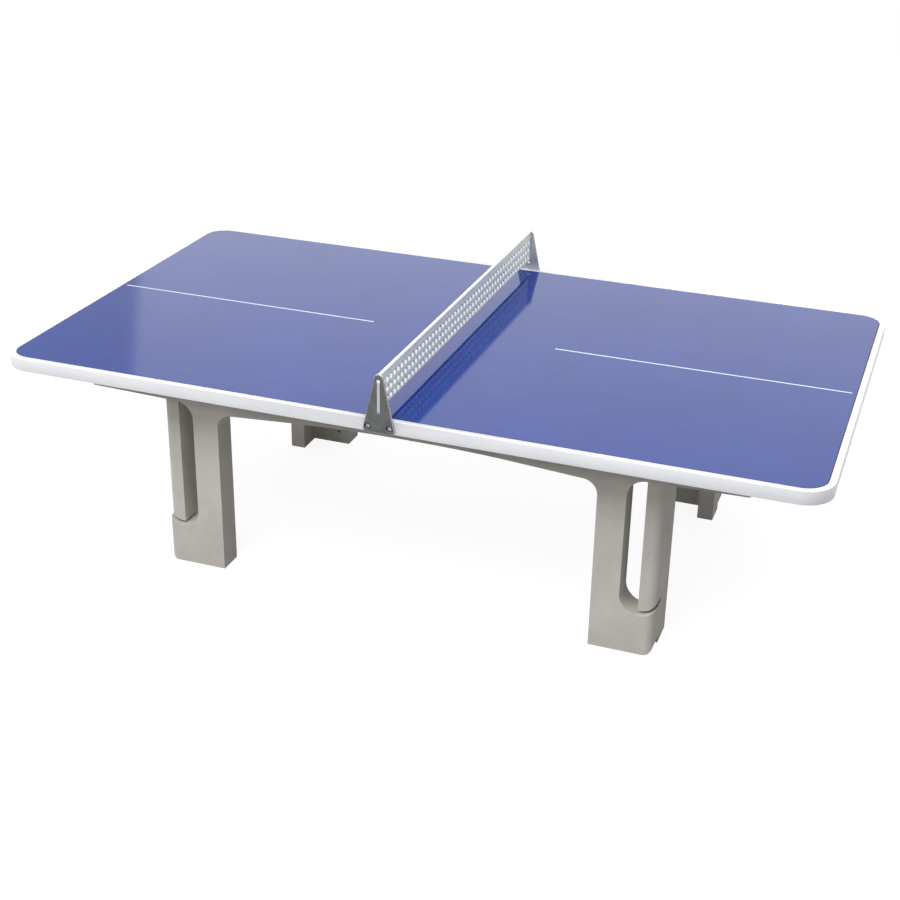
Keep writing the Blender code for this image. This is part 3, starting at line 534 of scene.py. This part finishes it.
def rounded_sheet(length, width, radius, height, segments=24):
    """A flat rectangular face with round corners."""
    bm = bmesh.new()
    bmesh.ops.create_grid(bm, x_segments=1, y_segments=1, size=0.5)
    bmesh.ops.scale(bm, vec=(length, width, 1), verts=bm.verts[:])
    bmesh.ops.bevel(bm, geom=bm.verts[:], offset=radius, offset_type='OFFSET', affect='VERTICES',
                    segments=segments, profile=0.5, material=-1)
    bmesh.ops.translate(bm, vec=(0, 0, height), verts=bm.verts[:])
    return bm


coated, tree, shader, place = started("white_coated_aluminium")
soft = spread(tree, noise(tree, place, 5.0, 5, 0.6), 0.35, 0.70)
colour = blended(tree, soft, (0.800, 0.810, 0.850, 1), (0.845, 0.852, 0.885, 1))
dust = spread(tree, noise(tree, place, 70.0, 6, 0.72), 0.58, 0.78)
colour = blended(tree, times(tree, dust, 0.16), colour, (0.52, 0.50, 0.47, 1))
tree.links.new(colour, shader.inputs["Base Color"])
along = joined(tree, 'ShaderNodeMapping', {"Vector": place, "Scale": (0.02, 0.02, 1.0)}).outputs["Vector"]
drawn_lines = noise(tree, along, 700.0, 2, 0.6)
tree.links.new(spread(tree, drawn_lines, 0.3, 0.7, 0.30, 0.42), shader.inputs["Roughness"])
peel = raised(tree, noise(tree, place, 900.0, 2), 0.00004, 0.5)
tree.links.new(raised(tree, drawn_lines, 0.00006, 0.4, peel), shader.inputs["Normal"])
for end_name, end in ends:
    bm = pulled(rounded_sheet(top_length, top_width, corner_radius, top_height), (0, 0, -profile_height))
    top, bottom = sorted((face for face in bm.faces if abs(face.normal.z) > 0.9),
                         key=lambda face: -face.calc_center_median().z)
    bmesh.ops.inset_region(bm, faces=[top], thickness=flange, use_even_offset=True)
    bmesh.ops.inset_region(bm, faces=[bottom], thickness=lip, use_even_offset=True)
    rim = [edge for edge in bm.edges if edge.calc_face_angle(0) > math.radians(60)
           and min(vert.co.z for vert in edge.verts) > top_height - margin]
    base = [edge for edge in bm.edges if edge.calc_face_angle(0) > math.radians(60)
            and max(vert.co.z for vert in edge.verts) < top_height - profile_height + margin]
    bmesh.ops.delete(bm, geom=[top, bottom], context='FACES_ONLY')
    bmesh.ops.bevel(bm, geom=rim, offset=profile_crown, offset_type='OFFSET', affect='EDGES', segments=4,
                    profile=0.5, material=-1)
    bmesh.ops.bevel(bm, geom=base, offset=profile_base, offset_type='OFFSET', affect='EDGES', segments=2,
                    profile=0.5, material=-1)
    everything = bm.verts[:] + bm.edges[:] + bm.faces[:]
    bmesh.ops.bisect_plane(bm, geom=everything, plane_co=(end * profile_joint / 2, 0, 0),
                           plane_no=(-end, 0, 0), clear_outer=True)
    bmesh.ops.recalc_face_normals(bm, faces=bm.faces[:])
    wall = max(bm.faces, key=lambda face: abs(face.normal.x) * face.calc_area())
    if wall.normal.x * end < 0:
        bmesh.ops.reverse_faces(bm, faces=bm.faces[:])
    piece = finished(bm, "white_edge_" + end_name, coated, evened=False)
    sheet_wall = piece.modifiers.new("sheet thickness", 'SOLIDIFY')
    sheet_wall.thickness = profile_wall
    sheet_wall.offset = -1
    sheet_wall.use_even_offset = True
    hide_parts("edge_profile_" + end_name)


# Playing surface
# A hard blue coating fills the profile flush with its flange, and a fine groove parts the two.
# It is glossy, and so lightly uneven that it blurs what is mirrored in it.
surface_groove, surface_depth, surface_arris = 0.0027, 0.006, 0.0005
line_width, line_start, line_end, line_depth, line_room = 0.007, 0.335, 1.333, 0.001, 0.0003
blue, tree, shader, place = started("blue_playing_coat")
clouds = spread(tree, noise(tree, place, 3.2, 6, 0.62), 0.34, 0.68)
colour = blended(tree, clouds, (0.001, 0.024, 0.200, 1), (0.002, 0.032, 0.235, 1))
specks = spread(tree, noise(tree, place, 520.0, 3, 0.7), 0.60, 0.76)
colour = blended(tree, times(tree, specks, 0.20), colour, (0.020, 0.060, 0.32, 1))
rubbed = spread(tree, noise(tree, place, 13.0, 6, 0.7), 0.57, 0.74)
colour = blended(tree, times(tree, rubbed, 0.10), colour, (0.04, 0.075, 0.28, 1))
tree.links.new(colour, shader.inputs["Base Color"])
uneven = spread(tree, noise(tree, place, 18.0, 5, 0.65), 0.3, 0.7, 0.06, 0.11)
tree.links.new(uneven, shader.inputs["Roughness"])
shader.inputs["IOR"].default_value = 1.33
tree.links.new(raised(tree, noise(tree, place, 260.0, 3), 0.00006, 0.5), shader.inputs["Normal"])

inset = flange + surface_groove
bm = rounded_sheet(top_length - 2 * inset, top_width - 2 * inset, corner_radius - inset, top_height)
bm = pulled(bm, (0, 0, -surface_depth))
rim = [edge for edge in bm.edges if edge.calc_face_angle(0) > math.radians(60)
       and min(vert.co.z for vert in edge.verts) > top_height - margin]
bmesh.ops.bevel(bm, geom=rim, offset=surface_arris, offset_type='OFFSET', affect='EDGES', segments=2,
                profile=0.5, material=-1)
for end_name, end in ends:
    low, high = sorted((end * (line_start - line_room), end * (line_end + line_room)))
    bm = machined(bm, block((low, -line_width / 2 - line_room, top_height - line_depth - line_room),
                            (high, line_width / 2 + line_room, top_height + overshoot)))
piece = finished(bm, "blue_surface", blue)
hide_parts("playing_surface")


# Centre lines
# Two pale strips of plastic, 7 mm wide, are let into the coating and lie flush with it.
# They stop short of the net and of the end edges.
strip, tree, shader, place = started("line_strip")
tree.links.new(blended(tree, noise(tree, place, 40.0, 5), (0.56, 0.64, 0.78, 1), (0.66, 0.74, 0.86, 1)),
               shader.inputs["Base Color"])
tree.links.new(spread(tree, noise(tree, place, 90.0), 0.3, 0.7, 0.28, 0.45), shader.inputs["Roughness"])
for end_name, end in ends:
    dressed("centre_line_" + end_name, strip)


# Net
# A thick metal plate with three rows of round holes stands in for a cloth net, a round bar along its top.
# At each end it carries on as a tongue, which fills the slot of an end plate.
net_half_web, net_bead, net_bottom, net_top = 0.0045, 0.0057, 0.797, 0.9125
net_end, tongue_end, tongue_head, tongue_root, tongue_drop = 0.7622, 0.7705, 0.889, 0.005, 0.009
tongue_bead, drill_length = 0.0140, 0.040
hole_radius, hole_pitch, hole_columns, hole_rows = 0.0085, 0.0308, 24, (0.8132, 0.8440, 0.8748)
hole_facet, hole_chamfer = 0.0025, 0.0016
cast_metal, tree, shader, place = started("net_metal")
clouds = spread(tree, noise(tree, place, 22.0, 6, 0.65), 0.34, 0.68)
colour = blended(tree, clouds, (0.79, 0.84, 0.75, 1), (0.87, 0.92, 0.84, 1))
grime = spread(tree, noise(tree, place, 120.0, 5, 0.7), 0.56, 0.76)
colour = blended(tree, times(tree, grime, 0.25), colour, (0.50, 0.50, 0.48, 1))
# Painted highlight: the hole walls and the top of the bead are painted near white and made metallic, so they
# read as lit.
net_painted_highlight = joined(tree, 'ShaderNodeAttribute', {}, attribute_name="arris").outputs["Fac"]
colour = blended(tree, net_painted_highlight, colour, (0.98, 0.99, 0.98, 1))
sawn = joined(tree, 'ShaderNodeAttribute', {}, attribute_name="tongue").outputs["Fac"]
colour = blended(tree, times(tree, sawn, 0.8), colour, (0.45, 0.46, 0.46, 1))
tree.links.new(colour, shader.inputs["Base Color"])
tree.links.new(spread(tree, net_painted_highlight, 0.9, 1.0), shader.inputs["Metallic"])
uneven = spread(tree, noise(tree, place, 80.0, 5, 0.6), 0.3, 0.7, 0.38, 0.56)
tree.links.new(times(tree, uneven, spread(tree, net_painted_highlight, 0.0, 1.0, 1.0, 0.65)), shader.inputs["Roughness"])
tree.links.new(raised(tree, noise(tree, place, 800.0, 3, 0.7), 0.00012, 0.5), shader.inputs["Normal"])

bm = block((-net_half_web, -net_end, net_bottom), (net_half_web, net_end, net_top - net_bead))
for side_name, side in sides:
    low, high = sorted((side * (net_end - tongue_root), side * tongue_end))
    tongue = block((-net_half_web, low, net_bottom - tongue_drop), (net_half_web, high, tongue_head))
    bm = machined(bm, tongue, 'UNION')
for side_name, side in sides:
    bead = rod((0, side * tongue_end, tongue_head), (0, -side, 0), net_bead, tongue_bead, 40)
    bm = machined(bm, bead, 'UNION')
bm = machined(bm, rod((0, -net_end, net_top - net_bead), (0, 1, 0), net_bead, 2 * net_end, 40), 'UNION')
drills = bmesh.new()
lie = Matrix.Rotation(math.pi / 2, 4, 'Y')
for height in hole_rows:
    for column in range(-hole_columns, hole_columns + 1):
        bmesh.ops.create_cone(drills, cap_ends=True, segments=24, radius1=hole_radius, radius2=hole_radius,
                              depth=drill_length,
                              matrix=Matrix.Translation((0, column * hole_pitch, height)) @ lie)
bm = machined(bm, drills)
rims = [edge for edge in bm.edges if edge.calc_length() < hole_facet
        and all(abs(abs(vert.co.x) - net_half_web) < 0.00002 for vert in edge.verts)
        and edge.calc_face_angle(0) > math.radians(60) and abs(edge.verts[0].co.y) < net_end - tongue_root]
bmesh.ops.bevel(bm, geom=rims, offset=hole_chamfer, offset_type='OFFSET', affect='EDGES', segments=1,
                profile=0.5, material=-1)
bm.normal_update()
tongue = bm.loops.layers.float.new("tongue")
arris = bm.loops.layers.float.new("arris")
for face in bm.faces:
    middle = face.calc_center_median()
    if abs(middle.y) > net_end - margin and middle.z < tongue_head - 3 * margin:
        marked(face, tongue, 1)
    # The hole walls and the bead's top are marked for the painted highlight.
    between_edges = net_bottom + 2 * margin < middle.z < net_top - 2 * net_bead
    hole_wall = abs(face.normal.x) < 0.9 and abs(middle.x) < net_half_web
    if hole_wall and between_edges and abs(middle.y) < net_end - 2 * margin:
        marked(face, arris, 1)
    if middle.z > net_top - 1.6 * net_bead or abs(middle.y) > net_end and middle.z > tongue_head - 2 * margin:
        marked(face, arris, 0.55)
piece = finished(bm, "perforated_net", cast_metal, 30)
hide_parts("net_panel")


# End plates
# Dark metal plates on the long edges carry the net. Each tapers to a round top, and has a slot for the net's
# tongue. Two bolts in round recesses hold it, through the edge profile, to the anchors in the slab.
plate_inner, plate_outer = 0.7628, 0.7705
plate_bottom, plate_foot, plate_corner = 0.7155, 0.0556, 0.013
dome_reach, dome_radius = 0.0124, 0.0154
slot_half, slot_end, slot_low, slot_high = 0.005, 0.006, 0.787, 0.889
net_bolt_spread, net_bolt_height = 0.036, 0.736
recess_radius, recess_depth, plate_arris = 0.012, 0.006, 0.0024
dark_metal, tree, shader, place = started("end_plate_metal")
clouds = spread(tree, noise(tree, place, 26.0, 6, 0.65), 0.34, 0.68)
# The plates' dark grey is partly their own tone and partly a painted reflection of dark ground before them.
colour = blended(tree, clouds, (0.090, 0.096, 0.095, 1), (0.140, 0.150, 0.148, 1))
# Painted highlight: the rounded edges, the domed top and the upward walls of the bolt recesses are painted
# pale.
wear_and_painted_highlight = joined(tree, 'ShaderNodeAttribute', {}, attribute_name="arris").outputs["Fac"]
wear_and_painted_highlight = times(tree, wear_and_painted_highlight, spread(tree, noise(tree, place, 140.0, 4, 0.7), 0.34, 0.60, 0.35, 1.0))
# Painted reflection: the faces towards the table are painted pale lavender, standing in for the blue top
# mirrored in them.
back = joined(tree, 'ShaderNodeAttribute', {}, attribute_name="inner").outputs["Fac"]
colour = blended(tree, times(tree, back, 0.8), colour, (0.60, 0.60, 0.66, 1))
colour = blended(tree, times(tree, wear_and_painted_highlight, 0.90), colour, (0.80, 0.81, 0.81, 1))
# Painted shade: the floor and the downward walls of the bolt recesses are painted near black.
bored = joined(tree, 'ShaderNodeAttribute', {}, attribute_name="painted_recess_shade").outputs["Fac"]
colour = blended(tree, times(tree, bored, 0.9), colour, (0.012, 0.012, 0.014, 1))
tree.links.new(colour, shader.inputs["Base Color"])
uneven = spread(tree, noise(tree, place, 150.0, 5, 0.6), 0.3, 0.7, 0.34, 0.50)
tree.links.new(uneven, shader.inputs["Roughness"])
tree.links.new(raised(tree, noise(tree, place, 600.0, 3, 0.7), 0.00015, 0.5), shader.inputs["Normal"])
shader.inputs["Metallic"].default_value = 0.6
plate_shape = [(plate_foot, plate_bottom, plate_corner), (dome_reach, net_top, dome_radius),
               (-dome_reach, net_top, dome_radius), (-plate_foot, plate_bottom, plate_corner)]
for side_name, side in sides:
    bm = thickened(drawn(plate_shape, 12), *sorted((side * plate_inner, side * plate_outer)))
    arrises_rounded(bm, plate_arris)
    outside = side * (plate_outer + overshoot)
    inward = (0, -side, 0)
    bm = machined(bm, block((-slot_half, side * plate_outer - drill_length / 2, slot_low),
                            (slot_half, side * plate_outer + drill_length / 2, slot_high)))
    for height in (slot_low, slot_high):
        bm = machined(bm, rod((0, outside, height), inward, slot_end, drill_length))
    for x in (-net_bolt_spread, net_bolt_spread):
        mouth = (x, outside, net_bolt_height)
        bm = machined(bm, rod(mouth, inward, recess_radius, overshoot + recess_depth, 48))
        bm = machined(bm, rod(mouth, inward, screw_room, drill_length))
    bm.normal_update()
    inner = bm.loops.layers.float.new("inner")
    painted_recess_shade = bm.loops.layers.float.new("painted_recess_shade")
    arris = bm.loops.layers.float["arris"]
    # Mark the edges and upward recess walls for the painted highlight, the other recess faces for painted
    # shade, and the faces towards the table for the painted reflection.
    for face in bm.faces:
        middle = face.calc_center_median()
        from_bolt = math.hypot(abs(middle.x) - net_bolt_spread, middle.z - net_bolt_height)
        bored = from_bolt < recess_radius + margin / 2 and side * middle.y < plate_outer - margin
        if bored or face.normal.z > 0.3 and middle.z > slot_high:
            marked(face, arris, face.normal.z > 0.35)
        elif abs(face.normal.y) < 0.7:
            marked(face, arris, 0.75)
        marked(face, inner, face.normal.y * side < -0.9)
        marked(face, painted_recess_shade, bored and face.normal.z < 0.35)
    piece = finished(bm, "end_plate_" + side_name, dark_metal)
    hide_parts("net_end_plate_" + side_name)


# Net bolts and washers
# Stainless button-head bolts with a hexagon socket sit in the recesses of the end plates.
# Under each head lies a plain washer, painted far darker than the bolt as painted shade in the recess.
bolt_head, bolt_head_height, bolt_rim, bolt_shank, bolt_length = 0.00675, 0.0036, 0.0008, 0.004, 0.035
bolt_tip, washer_edge = 0.0006, 0.0003
key_across, key_depth = 0.005, 0.0024
washer_radius, washer_thickness = 0.010, 0.0014
button_steps, button_sweep = 5, 0.72 * math.pi / 2
stainless = steel("stainless_steel", (0.46, 0.46, 0.47), 0.30)
# Painted shade: the washers are painted near black, standing in for the shade in the recesses.
washer_shade_steel = steel("washer_steel_painted_shade", (0.12, 0.12, 0.125), 0.42)
button = []
for step in range(button_steps, -1, -1):
    sweep = button_sweep * step / button_steps
    rise = (bolt_head_height - bolt_rim) * math.sin(sweep) / math.sin(button_sweep)
    button.append((bolt_head * math.cos(sweep), bolt_rim + rise))
bolt_section = [(0, bolt_head_height), *button, (bolt_head, washer_edge), (bolt_head - washer_edge, 0),
                (bolt_shank, 0), (bolt_shank, bolt_tip - bolt_length), (bolt_shank - bolt_tip, -bolt_length),
                (0, -bolt_length)]
washer_section = [(washer_radius - washer_edge, washer_thickness),
                  (washer_radius, washer_thickness - washer_edge), (washer_radius, washer_edge),
                  (washer_radius - washer_edge, 0), (screw_room, 0), (screw_room, washer_thickness)]
for side_name, side in sides:
    for end_name, end in ends:
        label = side_name + "_" + end_name
        outward = (0, side, 0)
        low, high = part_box("net_washer_" + label)
        middle = (low + high) / 2
        seat = side * min(abs(low.y), abs(high.y))
        washer = finished(turned(washer_section, (middle.x, seat, middle.z), outward, 48, ring=True),
                          "washer_" + label, washer_shade_steel)
        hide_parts("net_washer_" + label)
        low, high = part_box("net_bolt_" + label)
        seat = side * (max(abs(low.y), abs(high.y)) - bolt_head_height)
        bolt = turned(bolt_section, (middle.x, seat, middle.z), outward, 40)
        key = rod((middle.x, seat + side * (bolt_head_height - key_depth), middle.z), outward, key_across / 2,
                  overshoot, 6)
        bolt = finished(machined(bolt, key), "button_bolt_" + label, stainless)
        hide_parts("net_bolt_" + label)


# Studio
# A wide pale floor, a white surround and large soft lamps stand round the table.
# The camera looks from the photograph's place. Only the lamp behind the table is mirrored in the glossy top.
floor_radius = 30


def seen_by_eye(tree):
    """1 for what the camera sees, straight, mirrored or through glass, and 0 for what lights the table."""
    ray = tree.nodes.new('ShaderNodeLightPath')
    seen = times(tree, ray.outputs["Is Camera Ray"], ray.outputs["Is Glossy Ray"], 'MAXIMUM')
    return times(tree, seen, ray.outputs["Is Transmission Ray"], 'MAXIMUM')


floor_white, tree, shader, place = started("floor_white")
shader.inputs["Roughness"].default_value = 0.9
shader.inputs["Specular IOR Level"].default_value = 0.0
seen = seen_by_eye(tree)
tree.links.new(blended(tree, seen, (0.30, 0.30, 0.30, 1), (0.22, 0.22, 0.22, 1)), shader.inputs["Base Color"])
shader.inputs["Emission Color"].default_value = (1, 1, 1, 1)
tree.links.new(times(tree, seen, 0.90), shader.inputs["Emission Strength"])
bm = bmesh.new()
bmesh.ops.create_circle(bm, cap_ends=True, segments=64, radius=floor_radius)
floor_mesh = bpy.data.meshes.new("studio_floor")
bm.to_mesh(floor_mesh)
bm.free()
floor_mesh.materials.append(floor_white)
studio_floor = bpy.data.objects.new("studio_floor", floor_mesh)
bpy.context.scene.collection.objects.link(studio_floor)

world = bpy.data.worlds.new("studio_surround")
bpy.context.scene.world = world
world.use_nodes = True
tree = world.node_tree
surround = tree.nodes["Background"]
surround.inputs["Color"].default_value = (1, 1, 1, 1)
tree.links.new(spread(tree, seen_by_eye(tree), 0.0, 1.0, 0.50, 1.0), surround.inputs["Strength"])


def lamp(name, place, target, size, power, mirrored=False):
    """A square soft lamp aimed at a target, which the glossy top mirrors or not."""
    light = bpy.data.lights.new(name, 'AREA')
    light.shape = 'SQUARE'
    light.size = size
    light.energy = power
    holder = bpy.data.objects.new(name, light)
    holder.location = place
    holder.rotation_euler = (Vector(target) - Vector(place)).to_track_quat('-Z', 'Y').to_euler()
    holder.visible_glossy = mirrored
    bpy.context.scene.collection.objects.link(holder)


lamp("front_softbox", (-0.7, -3.9, 5.6), (0, 0, 0.4), 3.2, 280)
lamp("left_softbox", (-5.5, -2.6, 1.7), (-0.5, 0.2, 0.4), 3.0, 66)
lamp("overhead_softbox", (2.6, -0.9, 5.4), (0, 0, 0.7), 3.5, 110)
lamp("back_softbox", (-1.7, 6.8, 4.2), (0, 0, 0.7), 7.0, 120, mirrored=True)

azimuth, elevation, roll = math.radians(19.525), math.radians(25.740), math.radians(1.079)
aim_point, camera_distance = Vector((-0.039, 0, 0.308)), 5.601
towards = Vector((math.sin(azimuth) * math.cos(elevation), -math.cos(azimuth) * math.cos(elevation),
                  math.sin(elevation)))
level = Vector((math.cos(azimuth), math.sin(azimuth), 0))
upright = towards.cross(level)
across = level * math.cos(roll) + upright * math.sin(roll)
upward = upright * math.cos(roll) - level * math.sin(roll)
lens = bpy.data.cameras.new("camera")
lens.sensor_width = 36
lens.lens = 61.94
camera = bpy.data.objects.new("camera", lens)
camera.matrix_world = Matrix.Translation(aim_point + towards * camera_distance) @ Matrix(
    (across, upward, towards)).transposed().to_4x4()
bpy.context.scene.collection.objects.link(camera)
bpy.context.scene.camera = camera
bpy.context.scene.view_settings.view_transform = 'Standard'
